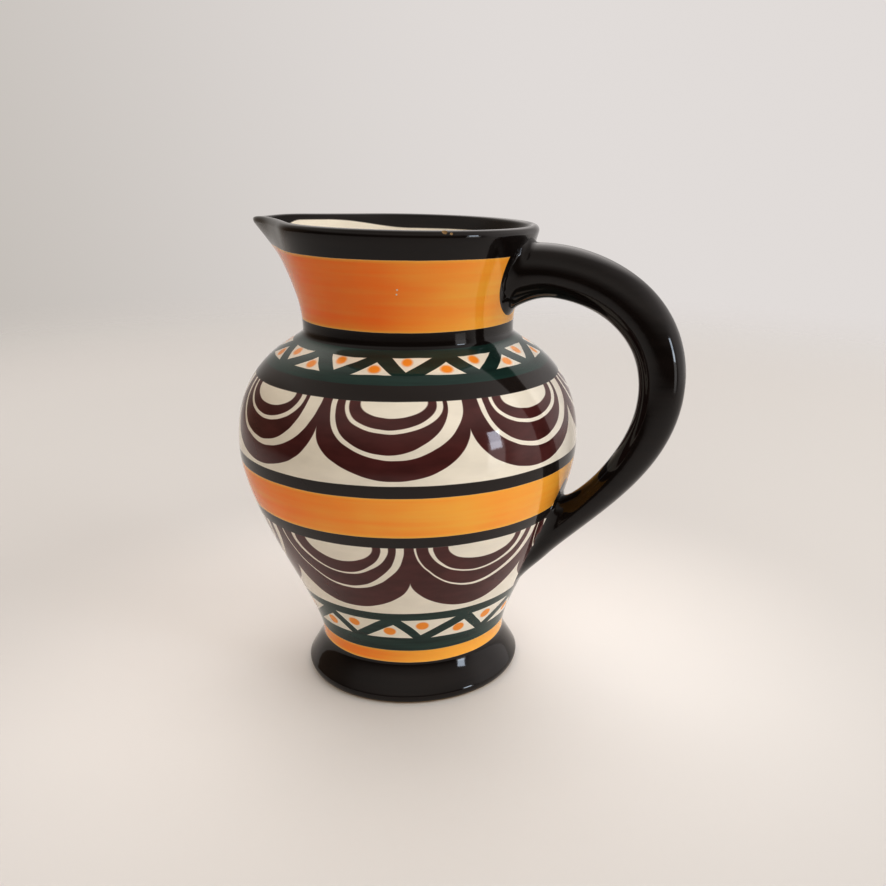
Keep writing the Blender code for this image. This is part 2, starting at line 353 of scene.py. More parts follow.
class WallGauge:
    """Tells where a point lies against the outer wall."""

    def __init__(self, body):
        self.body = body
        self.points = outline(body, GAUGE_FACET)

    def radius(self, height):
        """Radius of the turned outer wall at one height."""
        points = self.points
        if height <= points[0].y:
            return points[0].x
        low, high = 0, len(points) - 1
        while high - low > 1:
            middle = (low + high) // 2
            if points[middle].y <= height:
                low = middle
            else:
                high = middle
        run = points[high].y - points[low].y
        share = min((height - points[low].y) / run, 1.0) if run > 0 else 0.0
        return points[low].x + (points[high].x - points[low].x) * share

    def depth(self, place):
        """How deep a point lies behind the outer wall, measured level; negative outside."""
        pull = lip_pull(self.body, math.atan2(place.y, -place.x), place.z)
        return self.radius(place.z) + pull - math.hypot(place.x, place.y)


def handle_line(body, handle, gauge):
    """Centre line of the handle from the neck over the crown down to the belly, in the XZ plane."""
    top = Vector((gauge.radius(handle.top_join) - ROOT_DEPTH, handle.top_join))
    back = Vector((body.belly_radius + handle.finger_gap + handle.grip_radius, handle.outermost))
    tail = Vector((gauge.radius(handle.low_join), handle.low_join)) - TAIL_WAY * TAIL_LENGTH
    half = HANDLE_RINGS // 2
    top_pull, crown_pull, back_pull, tail_pull = HANDLE_PULLS
    crown = (top, top + TOP_WAY * top_pull, back + UP * crown_pull, back)
    rest = (back, back - UP * back_pull, tail + TAIL_WAY * tail_pull, tail)
    line = [bezier(*crown, i / half) for i in range(half)]
    return line + [bezier(*rest, i / half) for i in range(half + 1)]


def handle_radius(handle, share):
    """Half the handle's thickness at a share of its length."""
    root_end, grip_end, tail_end, tip = THINNING
    radius = handle.top_radius
    radius += (handle.grip_radius - handle.top_radius) * smooth_step(share, root_end, grip_end)
    radius += (handle.tail_radius - handle.grip_radius) * smooth_step(share, grip_end, tail_end)
    return radius + (handle.tip_radius - handle.tail_radius) * smooth_step(share, tail_end, tip)


def fillet(distance, size):
    """How much a quarter round of clay adds at a distance from the wall."""
    if distance >= size:
        return 0.0
    reach = size - distance
    return size - math.sqrt(size * size - reach * reach)


def smooth_onto_wall(handle, gauge, place, outwards, upper):
    """Where a point of the handle's surface ends up once its root is smoothed onto the wall."""
    depth = gauge.depth(place)
    distance = max(-depth, 0.0)
    if upper:
        hanging = max(-outwards.z, 0.0) ** 2
        flare = handle.upper_flare * hanging * max(1.0 - distance / handle.flare_length, 0.0) ** 2
        growth = fillet(distance, handle.upper_fillet) + flare
    else:
        facing = outwards.dot(CROTCH_WAY)
        size = handle.crotch_fillet if facing > 0 else handle.tail_fillet
        growth = fillet(distance, handle.lower_fillet + (size - handle.lower_fillet) * abs(facing))
    grown = place + outwards * growth
    radius = math.hypot(grown.x, grown.y)
    follow = 1.0 - (depth - gauge.depth(grown)) / radius
    return Vector((grown.x * follow, grown.y * follow, grown.z))


def pulled_handle(body, handle, gauge):
    """A tube of clay along the handle's line, flattened at its tail and smoothed onto the wall."""
    line = handle_line(body, handle, gauge)
    bpy.ops.object.select_all(action="DESELECT")
    bpy.ops.curve.primitive_nurbs_path_add()
    strap = bpy.context.object
    strap.name = "handle"
    curve = strap.data
    curve.splines.clear()
    curve.bevel_depth = handle.grip_radius
    curve.bevel_resolution = HANDLE_BEVEL
    curve.use_fill_caps = True
    spline = curve.splines.new("POLY")
    spline.points.add(HANDLE_RINGS)
    for i, place in enumerate(line):
        spline.points[i].co = (place.x, 0.0, place.y, 1.0)
        spline.points[i].radius = handle_radius(handle, i / HANDLE_RINGS) / handle.grip_radius
    bpy.ops.object.convert(target="MESH")
    strap = bpy.context.object
    bpy.ops.object.mode_set(mode="EDIT")
    bpy.ops.mesh.select_all(action="SELECT")
    bpy.ops.mesh.remove_doubles(threshold=0.01 * MM)
    bpy.ops.mesh.normals_make_consistent(inside=False)
    bpy.ops.object.mode_set(mode="OBJECT")
    widening = handle.tail_half_width / handle.tail_radius - 1.0
    for vertex in strap.data.vertices:
        place = Vector((vertex.co.x, vertex.co.z))
        nearest = min(range(HANDLE_RINGS + 1), key=lambda i: (line[i] - place).length_squared)
        share = nearest / HANDLE_RINGS
        vertex.co.y *= 1.0 + widening * smooth_step(share, *FLATTENING)
        centre = Vector((line[nearest].x, 0.0, line[nearest].y))
        outwards = (vertex.co - centre).normalized()
        upper = share < UPPER_ROOT_END
        if upper or share > LOWER_ROOT_START:
            vertex.co = smooth_onto_wall(handle, gauge, vertex.co, outwards, upper)
    return strap


def joined(target, other, operation):
    """Cut or join another form into the target and remove it."""
    bpy.ops.object.select_all(action="DESELECT")
    bpy.context.view_layer.objects.active = target
    target.select_set(True)
    boolean = target.modifiers.new("Join", "BOOLEAN")
    boolean.operation = operation
    boolean.solver = "EXACT"
    boolean.object = other
    bpy.ops.object.modifier_apply(modifier=boolean.name)
    bpy.data.objects.remove(other, do_unlink=True)


# The black brushed round the two ends of the handle: half width, height of its middle, half height and
# how square it is, in millimetres
UPPER_BLACK = (16.0, 184.0, 19.7, 2.0)
LOWER_BLACK = (10.8, 68.0, 27.5, 2.1)

# A point that stands out of the wall by more than this is on the handle and all black, one deeper than half
# the wall has none of it, and an edge farther off than the reach, in millimetres, isn't measured
STANDS_OUT = 0.6 * MM
HALF_WALL = 2.0 * MM
EDGE_REACH = 8.0


def handle_black(place, depth):
    """Millimetres inside (positive) or outside the handle's black, which stays off the inner wall."""
    if place.x < 0 or depth > HALF_WALL:
        return -EDGE_REACH
    if depth < -STANDS_OUT:
        return EDGE_REACH
    best = -EDGE_REACH
    for half_width, middle, half_height, square in (UPPER_BLACK, LOWER_BLACK):
        across = abs(place.y / MM) / half_width
        along = abs(place.z / MM - middle) / half_height
        best = max(best, (1.0 - (across**square + along**square) ** (1.0 / square)) * half_width)
    return best


def mark_paint_fields(form, gauge):
    """Store how deep in the wall each point lies and how far inside the handle's black, in millimetres."""
    mesh = form.data
    depths = [gauge.depth(v.co) for v in mesh.vertices]
    inside = mesh.attributes.new("wall_depth", "FLOAT", "POINT")
    inside.data.foreach_set("value", [d / MM for d in depths])
    black = mesh.attributes.new("handle_black", "FLOAT", "POINT")
    black.data.foreach_set("value", [handle_black(v.co, d) for v, d in zip(mesh.vertices, depths)])


def feed(tree, made, links):
    """Set inputs of a node, each to a value, a socket or another node."""
    for key, value in links.items():
        if isinstance(key, int):
            socket = made.inputs[key]
        else:
            socket = next(s for s in made.inputs if key in (s.identifier, s.name))
        if isinstance(value, bpy.types.Node):
            value = next(s for s in value.outputs if s.enabled)
        if isinstance(value, bpy.types.NodeSocket):
            tree.links.new(value, socket)
        else:
            socket.default_value = value


def node(tree, kind, links=None, **settings):
    """Add a node with its settings and its inputs."""
    made = tree.nodes.new(kind)
    for name, value in settings.items():
        setattr(made, name, value)
    feed(tree, made, links or {})
    return made


# How soft the edge of a brushed paint is, in millimetres to either side
BRUSH_EDGE = 0.12


def band(tree, height, low, high, edge=BRUSH_EDGE):
    """1 between two heights in millimetres."""
    above = node(tree, "ShaderNodeMath", {0: height, 1: low}, operation="SUBTRACT")
    below = node(tree, "ShaderNodeMath", {0: high, 1: height}, operation="SUBTRACT")
    least = node(tree, "ShaderNodeMath", {0: above, 1: below}, operation="MINIMUM")
    return node(tree, "ShaderNodeMapRange", {0: least, 1: -edge, 2: edge})


def local_angle(tree, angle, centre, period):
    """The angle from the middle of the repeat that a point lies in."""
    moved = node(tree, "ShaderNodeMath", {0: angle, 1: -centre}, operation="ADD")
    return node(tree, "ShaderNodeMath", {0: moved, 1: period / 2, 2: -period / 2}, operation="WRAP")


def oval(tree, place, shift, half_width, top, depth, edge=BRUSH_EDGE):
    """1 inside an oval whose middle is at (shift, top), half as wide and half as tall as given."""
    scale = (1.0 / half_width, 1.0 / depth, 0.0)
    start = (-shift / half_width, -top / depth, 0.0)
    scaled = node(tree, "ShaderNodeVectorMath", {0: place, 1: scale, 2: start}, operation="MULTIPLY_ADD")
    far = node(tree, "ShaderNodeVectorMath", {0: scaled}, operation="LENGTH").outputs["Value"]
    return node(tree, "ShaderNodeMapRange", {0: far, 1: 1.0 + edge / depth, 2: 1.0 - edge / depth})


# Festoons: how many swags, the angle of one swag's middle, heights of the zone's top and of the cusps, and
# how far the swags drop. The ovals are, from the outside in, both edges of two cream lines and the cream
# half moon, each with its shift, half width and depth below the top. The jitter sets swags apart, and
# the drift crowds them on one side. All in degrees and millimetres
UPPER_FESTOON = {
    "count": 7,
    "first": -71.0,
    "top": 139.0,
    "cusp": 131.0,
    "drop": 20.8,
    "ovals": (
        (1.2, 23.6, 20.6),
        (-0.6, 19.9, 18.5),
        (0.0, 17.6, 11.0),
        (-0.4, 15.7, 9.6),
        (0.0, 12.2, 5.6),
    ),
    "jitter": (2.0, 1.8),
    "seed": 3.0,
    "drift": 4.1,
}
LOWER_FESTOON = {
    "count": 7,
    "first": -93.4,
    "top": 81.2,
    "cusp": 64.5,
    "drop": 16.9,
    "ovals": (
        (0.6, 24.2, 23.4),
        (-0.6, 22.3, 22.2),
        (0.0, 18.8, 15.6),
        (-0.5, 16.8, 14.8),
        (0.6, 13.2, 9.0),
    ),
    "jitter": (2.0, 1.6),
    "seed": 11.0,
    "drift": 0.0,
}

# Degrees by which one swag reaches under the next, and how far a row's zone runs down from its cusps
SWAG_OVERLAP = 0.25
SWAG_ZONE = 30.0


def festoon(tree, angle, height, swag):
    """1 on the aubergine of a row of hanging swags, which stand closer together on the first one's side."""
    period = 360.0 / swag["count"]
    phase = node(tree, "ShaderNodeMath", {0: angle, 1: -swag["first"]}, operation="ADD")
    phase = node(tree, "ShaderNodeMath", {0: phase}, operation="RADIANS")
    phase = node(tree, "ShaderNodeMath", {0: phase}, operation="SINE")
    angle = node(tree, "ShaderNodeMath", {0: phase, 1: swag["drift"], 2: angle}, operation="MULTIPLY_ADD")
    local = local_angle(tree, angle, swag["first"], period)
    offset = node(tree, "ShaderNodeMath", {0: angle, 1: period / 2 - swag["first"]}, operation="ADD")
    turns = node(tree, "ShaderNodeMath", {0: offset, 1: period}, operation="DIVIDE")
    index = node(tree, "ShaderNodeMath", {0: turns}, operation="FLOOR")
    index = node(tree, "ShaderNodeMath", {0: index, 1: swag["count"]}, operation="FLOORED_MODULO")
    index = node(tree, "ShaderNodeMath", {0: index, 1: swag["seed"]}, operation="ADD")
    chance = node(tree, "ShaderNodeTexWhiteNoise", {"W": index}, noise_dimensions="1D")
    wide, deep = swag["jitter"]
    shake = node(
        tree,
        "ShaderNodeVectorMath",
        {0: chance.outputs["Color"], 1: (wide, deep, 0.0), 2: (-wide / 2, -deep / 2, 0.0)},
        operation="MULTIPLY_ADD",
    )
    place = node(tree, "ShaderNodeCombineXYZ", {0: local, 1: height})
    shaken = node(tree, "ShaderNodeVectorMath", {0: place, 1: shake}, operation="ADD")
    hanging = node(tree, "ShaderNodeMath", {0: height, 1: swag["cusp"]}, operation="MINIMUM")
    outer_place = node(tree, "ShaderNodeCombineXYZ", {0: local, 1: hanging})
    cover = oval(tree, outer_place, 0.0, period / 2 + SWAG_OVERLAP, swag["cusp"], swag["drop"])
    for i, (shift, half_width, depth) in enumerate(swag["ovals"]):
        layer = oval(tree, shaken, shift, half_width, swag["top"], depth)
        operation = "ADD" if i % 2 else "SUBTRACT"
        cover = node(tree, "ShaderNodeMath", {0: cover, 1: layer}, operation=operation)
    zone = band(tree, height, swag["cusp"] - SWAG_ZONE, swag["top"])
    return node(tree, "ShaderNodeMath", {0: cover, 1: zone}, operation="MULTIPLY", use_clamp=True)


# Rows of painted triangles: how many, the first tip's angle, height of tip and base, degrees to the left
# and right of the tip, and the dot's shift, height, half width and half height
TRIANGLES = (
    (12, -97.0, 147.9, 152.2, 6.2, 11.6, 0.6, 150.9, 2.4, 1.2),
    (12, -79.6, 150.9, 147.0, 9.4, 6.4, -0.6, 148.7, 2.5, 1.2),
    (10, -62.0, 31.9, 40.6, 9.8, 16.8, 0.4, 37.2, 3.3, 2.1),
    (10, -75.6, 38.0, 30.2, 16.8, 9.6, -2.4, 34.0, 3.3, 2.2),
)
TRIANGLE_EDGE = 0.1
DOT_EDGE = 0.3


def triangle_row(tree, angle, height, row):
    """Two covers: one row of cream triangles, and the dots in them."""
    count, first, tip, base, left, right, dot_shift, dot_height, dot_width, dot_depth = row
    local = local_angle(tree, angle, first, 360.0 / count)
    tall = abs(base - tip)
    sign = 1.0 if base > tip else -1.0
    rise = node(tree, "ShaderNodeMath", {0: height, 1: sign, 2: -sign * tip}, operation="MULTIPLY_ADD")
    right_side = node(tree, "ShaderNodeMath", {0: local, 1: tall / right}, operation="MULTIPLY")
    left_side = node(tree, "ShaderNodeMath", {0: local, 1: -tall / left}, operation="MULTIPLY")
    sides = node(tree, "ShaderNodeMath", {0: right_side, 1: left_side}, operation="MAXIMUM")
    above = node(tree, "ShaderNodeMath", {0: rise, 1: sides}, operation="SUBTRACT")
    below = node(tree, "ShaderNodeMath", {0: tall, 1: rise}, operation="SUBTRACT")
    least = node(tree, "ShaderNodeMath", {0: above, 1: below}, operation="MINIMUM")
    place = node(tree, "ShaderNodeCombineXYZ", {0: local, 1: height})
    cover = node(tree, "ShaderNodeMapRange", {0: least, 1: -TRIANGLE_EDGE, 2: TRIANGLE_EDGE})
    dots = oval(tree, place, dot_shift, dot_width, dot_height, dot_depth, DOT_EDGE)
    return cover, node(tree, "ShaderNodeMath", {0: dots, 1: cover}, operation="MULTIPLY")


def laid_on(tree, ground, layers):
    """Lay paints over a ground one after the other, each where its cover is 1."""
    look = ground
    for cover, over in layers:
        links = {"Factor_Float": cover, "A_Color": look, "B_Color": over}
        look = node(tree, "ShaderNodeMix", links, data_type="RGBA")
    return look


def varied(colour, factor):
    """A colour made lighter or darker, as the nodes take it."""
    return (*(min(c * factor, 1.0) for c in colour), 1.0)


def repeat(size_mm):
    """How often a pattern of a real size in millimetres fits into a metre."""
    return 1.0 / (size_mm * MM)


def level_marks(tree, position, long, high, detail):
    """Marks drawn out level round the jug, with their length and height in millimetres."""
    scale = (repeat(long), repeat(long), repeat(high))
    drawn = node(tree, "ShaderNodeMapping", {"Vector": position, "Scale": scale})
    return node(tree, "ShaderNodeTexNoise", {"Vector": drawn, "Scale": 1.0, "Detail": detail})


# Brush strokes run level round the jug: their length and height in millimetres, how much they are broken
# up, and how much lighter or darker the paint gets in them. The noise fades from one paint to the other
# between two of its values
CREAM_STROKES = (16.7, 6.25, 3.0, 0.93)
AUBERGINE_STROKES = (14.3, 5.0, 2.0, 1.35)
GREEN_STROKES = (33.3, 2.38, 2.0, 0.62)
BLACK_STROKES = (40.0, 3.33, 2.0, 1.5)
STROKE_FADE = (0.35, 0.65)


def brushed(tree, position, colour, strokes):
    """A paint with its brush strokes."""
    *sizes, factor = strokes
    start, end = STROKE_FADE
    marks = level_marks(tree, position, *sizes)
    share = node(tree, "ShaderNodeMapRange", {0: marks, 1: start, 2: end})
    links = {"Factor_Float": share, "A_Color": (*colour, 1.0), "B_Color": varied(colour, factor)}
    return node(tree, "ShaderNodeMix", links, data_type="RGBA")


# Zones of plain colour round the jug, from one height to another in millimetres. The foot's black starts
# under the jug and the rim's ends above it
GREEN_ZONES = ((143.6, 154.8), (23.1, 44.8))
LINES = ((80.9, 85.9), (103.3, 108.3), (138.7, 143.8))
BLACK_ZONES = ((154.6, 161.2), (-1.0, 17.0), (189.4, 230.0))

# Orange bands: lower and upper edge in millimetres, the angle where the brush starts to run dry and the
# amber begins, and how thin the paint is at its thickest. The amber is partly thin paint and partly painted
# light, as it gathers on the side the key light falls on. They stay amber along their edges
ORANGE_BANDS = ((17.0, 23.1, -95.0, 0.35), (85.9, 103.3, -115.0, 0.35), (161.2, 189.4, -80.0, 0.1))
AMBER_EDGE = 0.7

# How the orange thins out to amber, partly where the brush runs dry and partly as painted light on the
# key-lit side: degrees from where it starts to the middle of its palest part, degrees from that middle over
# which the paint thickens again, and how thin it is in the palest part
DRIEST_AND_LIT_AFTER = 105.0
THICKENS = (55.0, 105.0)
DRIEST_AND_LIT = 0.9

# Streaks in the orange: length and height of the bristle marks in millimetres and how broken up they are,
# size of the patches in millimetres and how much more they count, and gain and offset of both together
BRISTLES = (71.4, 3.03, 3.0)
PATCHES = 41.7
PATCHES_TO_BRISTLES = 1.3
STREAK_STRENGTH = (0.8, -0.92)


def orange_streaks(tree, position):
    """How unevenly the orange is laid on: faint level bristle marks over broad patches."""
    bristles = level_marks(tree, position, *BRISTLES)
    sizes = {"Vector": position, "Scale": repeat(PATCHES), "Detail": 2.0}
    patches = node(tree, "ShaderNodeTexNoise", sizes)
    both = {0: patches, 1: PATCHES_TO_BRISTLES, 2: bristles}
    uneven = node(tree, "ShaderNodeMath", both, operation="MULTIPLY_ADD")
    strength, offset = STREAK_STRENGTH
    return node(tree, "ShaderNodeMath", {0: uneven, 1: strength, 2: offset}, operation="MULTIPLY_ADD")


def orange_paint(tree, paints, angle, streaks, dry, least):
    """Orange that turns amber over half the way round the jug, partly where the brush runs dry and partly as
    painted light on the side the key light falls on.
    """
    turned = node(tree, "ShaderNodeMath", {0: angle, 1: -dry - DRIEST_AND_LIT_AFTER}, operation="ADD")
    turned = node(tree, "ShaderNodeMath", {0: turned, 1: 180.0, 2: -180.0}, operation="WRAP")
    turned = node(tree, "ShaderNodeMath", {0: turned}, operation="ABSOLUTE")
    start, end = THICKENS
    # Partly painted light: the amber share peaks on the side the key light falls on, as well as where the
    # brush runs dry
    dry_and_lit = node(tree, "ShaderNodeMapRange", {0: turned, 1: start, 2: end, 3: DRIEST_AND_LIT, 4: least})
    thin = node(tree, "ShaderNodeMath", {0: streaks, 1: dry_and_lit}, operation="ADD", use_clamp=True)
    links = {"Factor_Float": thin, "A_Color": (*paints.orange, 1.0), "B_Color": (*paints.amber, 1.0)}
    return node(tree, "ShaderNodeMix", links, data_type="RGBA")


# How a hand strays from its line: length of the sway and of the shiver in millimetres, and how far each
# goes in degrees and in millimetres. On the turning wheel only a share of it is left
SWAY = (29.4, 4.4, 1.7)
SHIVER = (4.76, 0.35, 0.2)
ON_THE_WHEEL = 0.35


def paint_coordinates(tree):
    """Position, its parts, angle in degrees and height in millimetres by hand, and height on the wheel."""
    position = node(tree, "ShaderNodeTexCoord").outputs["Object"]
    apart = node(tree, "ShaderNodeSeparateXYZ", {0: position})
    sides = {0: apart.outputs["Y"], 1: apart.outputs["X"]}
    angle = node(tree, "ShaderNodeMath", sides, operation="ARCTAN2")
    angle = node(tree, "ShaderNodeMath", {0: angle}, operation="DEGREES")
    height = node(tree, "ShaderNodeMath", {0: apart.outputs["Z"], 1: 1.0 / MM}, operation="MULTIPLY")
    astray = (-SWAY[1] / 2, -SWAY[2] / 2, 0.0)
    for (size, degrees, millimetres), detail in ((SWAY, 1.0), (SHIVER, 0.0)):
        sizes = {"Vector": position, "Scale": repeat(size), "Detail": detail}
        wave = node(tree, "ShaderNodeTexNoise", sizes)
        links = {0: wave.outputs["Color"], 1: (degrees, millimetres, 0.0), 2: astray}
        astray = node(tree, "ShaderNodeVectorMath", links, operation="MULTIPLY_ADD")
    hand = node(tree, "ShaderNodeSeparateXYZ", {0: astray})
    by_hand = (
        node(tree, "ShaderNodeMath", {0: angle, 1: hand.outputs["X"]}, operation="ADD"),
        node(tree, "ShaderNodeMath", {0: height, 1: hand.outputs["Y"]}, operation="ADD"),
    )
    links = {0: hand.outputs["Y"], 1: ON_THE_WHEEL, 2: height}
    return position, apart, by_hand, node(tree, "ShaderNodeMath", links, operation="MULTIPLY_ADD")


# Two pinholes in the paint of the neck: angle in degrees and height in millimetres, half width in degrees
# and half height and edge in millimetres
PINHOLES = ((-71.2, 178.2), (-71.6, 176.4))
PINHOLE_SIZE = (0.42, 0.34, 0.1)

# Lower edge of the black band inside the rim: between two angles from the lip, in degrees, it falls from
# one height to another, in millimetres, and this near to the lip it reaches this far down the channel
INNER_BAND = (22.0, 70.0, 198.5, 194.5)
CHANNEL = (12.0, 6.0)

# How deep behind the outer wall the inside begins, and how soft the edges of the inside, of its black band
# and of the handle's black are, in millimetres
INSIDE_DEPTH = 2.2
INSIDE_EDGE = 0.4
INNER_BAND_EDGE = 0.25
HANDLE_BLACK_EDGE = 0.15


def under_inner_band(tree, apart, steady):
    """1 below the black band that runs round under the rim, narrow beside the lip, deep in its channel."""
    behind = node(tree, "ShaderNodeMath", {0: apart.outputs["X"], 1: -1.0}, operation="MULTIPLY")
    from_lip = node(tree, "ShaderNodeMath", {0: apart.outputs["Y"], 1: behind}, operation="ARCTAN2")
    from_lip = node(tree, "ShaderNodeMath", {0: from_lip}, operation="ABSOLUTE")
    from_lip = node(tree, "ShaderNodeMath", {0: from_lip}, operation="DEGREES")
    start, end, high, low = INNER_BAND
    beside = {0: from_lip, 1: start, 2: end, 3: high, 4: low}
    edge = node(tree, "ShaderNodeMapRange", beside, interpolation_type="SMOOTHSTEP")
    width, drop = CHANNEL
    within = {0: from_lip, 1: 0.0, 2: width, 3: drop, 4: 0.0}
    channel = node(tree, "ShaderNodeMapRange", within, interpolation_type="SMOOTHSTEP")
    edge = node(tree, "ShaderNodeMath", {0: edge, 1: channel}, operation="SUBTRACT")
    below = node(tree, "ShaderNodeMath", {0: edge, 1: steady}, operation="SUBTRACT")
    return node(tree, "ShaderNodeMapRange", {0: below, 1: -INNER_BAND_EDGE, 2: INNER_BAND_EDGE})


# Relief under the glaze: length, spacing and roughness of the faint throwing ridges, width of the puddles of
# glaze, both in millimetres, and how high they stand in metres
RIDGES = (167.0, 3.85, 1.0)
PUDDLES = 13.3
RELIEF_HEIGHT = 0.4 * MM


def glazed_relief(tree, position):
    """A faintly uneven surface, from throwing and from the way the glaze lies."""
    ridges = level_marks(tree, position, *RIDGES)
    sizes = {"Vector": position, "Scale": repeat(PUDDLES), "Detail": 2.0}
    puddles = node(tree, "ShaderNodeTexNoise", sizes)
    relief = node(tree, "ShaderNodeMath", {0: ridges, 1: puddles}, operation="ADD")
    return node(tree, "ShaderNodeBump", {"Height": relief, "Strength": 0.10, "Distance": RELIEF_HEIGHT})


def painted_glaze(paints):
    """Earthenware painted with slips and dipped in clear glaze.

    Lead-free clear glaze is smooth, has an index of refraction near 1.52 and gives sharp reflections over
    the matt paints. Bands are turned on the wheel and steady, the patterns are brushed by hand.
    """
    material = bpy.data.materials.new("painted_glazed_earthenware")
    material.use_nodes = True
    tree = material.node_tree
    position, apart, (angle, height), steady = paint_coordinates(tree)
    cream = brushed(tree, position, paints.cream, CREAM_STROKES)
    aubergine = brushed(tree, position, paints.aubergine, AUBERGINE_STROKES)
    green = brushed(tree, position, paints.green, GREEN_STROKES)
    black = brushed(tree, position, paints.black, BLACK_STROKES)

    layers = [(festoon(tree, angle, height, swag), aubergine) for swag in (UPPER_FESTOON, LOWER_FESTOON)]
    layers += [(band(tree, steady, *zone), green) for zone in GREEN_ZONES]
    layers += [(band(tree, steady, *zone), (*paints.line, 1.0)) for zone in LINES]
    layers += [(band(tree, steady, *zone), black) for zone in BLACK_ZONES]
    for row in TRIANGLES:
        triangles, dots = triangle_row(tree, angle, height, row)
        layers += [(triangles, cream), (dots, (*paints.dot, 1.0))]
    streaks = orange_streaks(tree, position)
    # The orange bands, painted paler towards amber on their key-lit side, partly as painted light
    for low, high, dry, least in ORANGE_BANDS:
        orange = orange_paint(tree, paints, angle, streaks, dry, least)
        middle = band(tree, steady, low + AMBER_EDGE, high - AMBER_EDGE, AMBER_EDGE)
        layers += [(band(tree, steady, low, high), (*paints.amber, 1.0)), (middle, orange)]
    half_width, half_height, edge = PINHOLE_SIZE
    for pin_angle, pin_height in PINHOLES:
        place = node(tree, "ShaderNodeCombineXYZ", {0: angle, 1: steady})
        pin = oval(tree, place, pin_angle, half_width, pin_height, half_height, edge)
        layers.append((pin, cream))

    depth = node(tree, "ShaderNodeAttribute", attribute_name="wall_depth").outputs["Fac"]
    ends = {0: depth, 1: INSIDE_DEPTH - INSIDE_EDGE, 2: INSIDE_DEPTH + INSIDE_EDGE}
    inside = node(tree, "ShaderNodeMapRange", ends)
    low_inside = {0: inside, 1: under_inner_band(tree, apart, steady)}
    layers += [(inside, black), (node(tree, "ShaderNodeMath", low_inside, operation="MULTIPLY"), cream)]
    root = node(tree, "ShaderNodeAttribute", attribute_name="handle_black").outputs["Fac"]
    ends = {0: root, 1: -HANDLE_BLACK_EDGE, 2: HANDLE_BLACK_EDGE}
    layers.append((node(tree, "ShaderNodeMapRange", ends), black))

    look = laid_on(tree, cream, layers)
    relief = glazed_relief(tree, position)
    shader = tree.nodes["Principled BSDF"]
    feed(tree, shader, {"Base Color": look, "Normal": relief, "Roughness": 0.07, "IOR": 1.52})
    return material


# Grit in the bare clay: its size in millimetres, how much darker it is, and its height in metres
GRIT = 1.11
GRIT_FACTOR = 0.72
GRIT_HEIGHT = 0.2 * MM


def bare_clay(paints):
    """Unglazed fired earthenware where the foot was wiped clean: matt, dry and sandy brown."""
    material = bpy.data.materials.new("bare_fired_earthenware")
    material.use_nodes = True
    tree = material.node_tree
    position = node(tree, "ShaderNodeTexCoord").outputs["Object"]
    sizes = {"Vector": position, "Scale": repeat(GRIT), "Detail": 3.0}
    grit = node(tree, "ShaderNodeTexNoise", sizes)
    dark = varied(paints.clay, GRIT_FACTOR)
    links = {"Factor_Float": grit, "A_Color": (*paints.clay, 1.0), "B_Color": dark}
    look = node(tree, "ShaderNodeMix", links, data_type="RGBA")
    bump = node(tree, "ShaderNodeBump", {"Height": grit, "Strength": 0.3, "Distance": GRIT_HEIGHT})
    feed(tree, tree.nodes["Principled BSDF"], {"Base Color": look, "Normal": bump, "Roughness": 0.85})
    return material


# Two small chips knocked out of the rim: azimuth, radius and height of each chip's middle, and its size
CHIPS = (
    (math.radians(-51.6), 54.6 * MM, 200.2 * MM, 1.2 * MM),
    (math.radians(-49.0), 55.5 * MM, 199.6 * MM, 0.9 * MM),
)
CHIP_TILT = (0.4, 0.7)

# The glaze is wiped off the foot up to here
BARE_HEIGHT = 0.9 * MM
SMOOTH_ANGLE = math.radians(40.0)


def chip_rim(jug, clay_slot):
    """Knock the chips out of the rim, down to the clay."""
    for azimuth, radius, height, size in CHIPS:
        bpy.ops.object.select_all(action="DESELECT")
        bpy.ops.mesh.primitive_ico_sphere_add(
            subdivisions=2,
            radius=size,
            location=(radius * math.cos(azimuth), radius * math.sin(azimuth), height),
            rotation=(*CHIP_TILT, azimuth),
        )
        bit = bpy.context.object
        bpy.ops.object.transform_apply(location=True, rotation=True, scale=False)
        for slot in jug.data.materials:
            bit.data.materials.append(slot)
        for face in bit.data.polygons:
            face.material_index = clay_slot
        joined(jug, bit, "DIFFERENCE")


class JUG_OT_make_jug(bpy.types.Operator):
    """Throw the body, pull its lip, join the handle on and paint and glaze the jug"""

    bl_idname = "jug.make_jug"
    bl_label = "Make Jug"

    def execute(self, context):
        body = context.scene.jug_body
        handle = context.scene.jug_handle
        paints = context.scene.jug_paint
        gauge = WallGauge(body)
        jug = thrown("glazed_jug", wall_rings(body), body.turns)
        core = thrown("core", core_rings(body), CORE_TURNS)
        pull_lip(body, jug)
        pull_lip(body, core)
        strap = pulled_handle(body, handle, gauge)
        joined(strap, core, "DIFFERENCE")
        joined(jug, strap, "UNION")
        mark_paint_fields(jug, gauge)
        jug.data.materials.clear()
        jug.data.materials.append(painted_glaze(paints))
        jug.data.materials.append(bare_clay(paints))
        for face in jug.data.polygons:
            face.material_index = 1 if face.center.z < BARE_HEIGHT else 0
        chip_rim(jug, 1)
        bpy.ops.object.select_all(action="DESELECT")
        jug.select_set(True)
        context.view_layer.objects.active = jug
        bpy.ops.object.shade_smooth_by_angle(angle=SMOOTH_ANGLE)
        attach(jug, "root")
        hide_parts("jug")
        return {"FINISHED"}


# The floor: the radius of its middle in metres, and how many times as wide the whole is
FLOOR_RADIUS = 0.7
FLOOR_GROWTH = 5.0

# It is cloudy, with clouds of a size in millimetres, and carries a painted pool of light round the jug: its
# colour is painted darker from a ring round the jug outwards, a painted shade. It fades away round a point
# behind the jug. The ring and the point are in metres
CLOUDS = 111.0
CLOUDS_FACTOR = 0.96
PAINTED_POOL_RING = (0.06, 0.26)
PAINTED_FALLOFF_FACTOR = 0.74
FADE_MIDDLE = (-0.1, 0.23, 0.0)
FADE_RING = (0.42, 1.1)


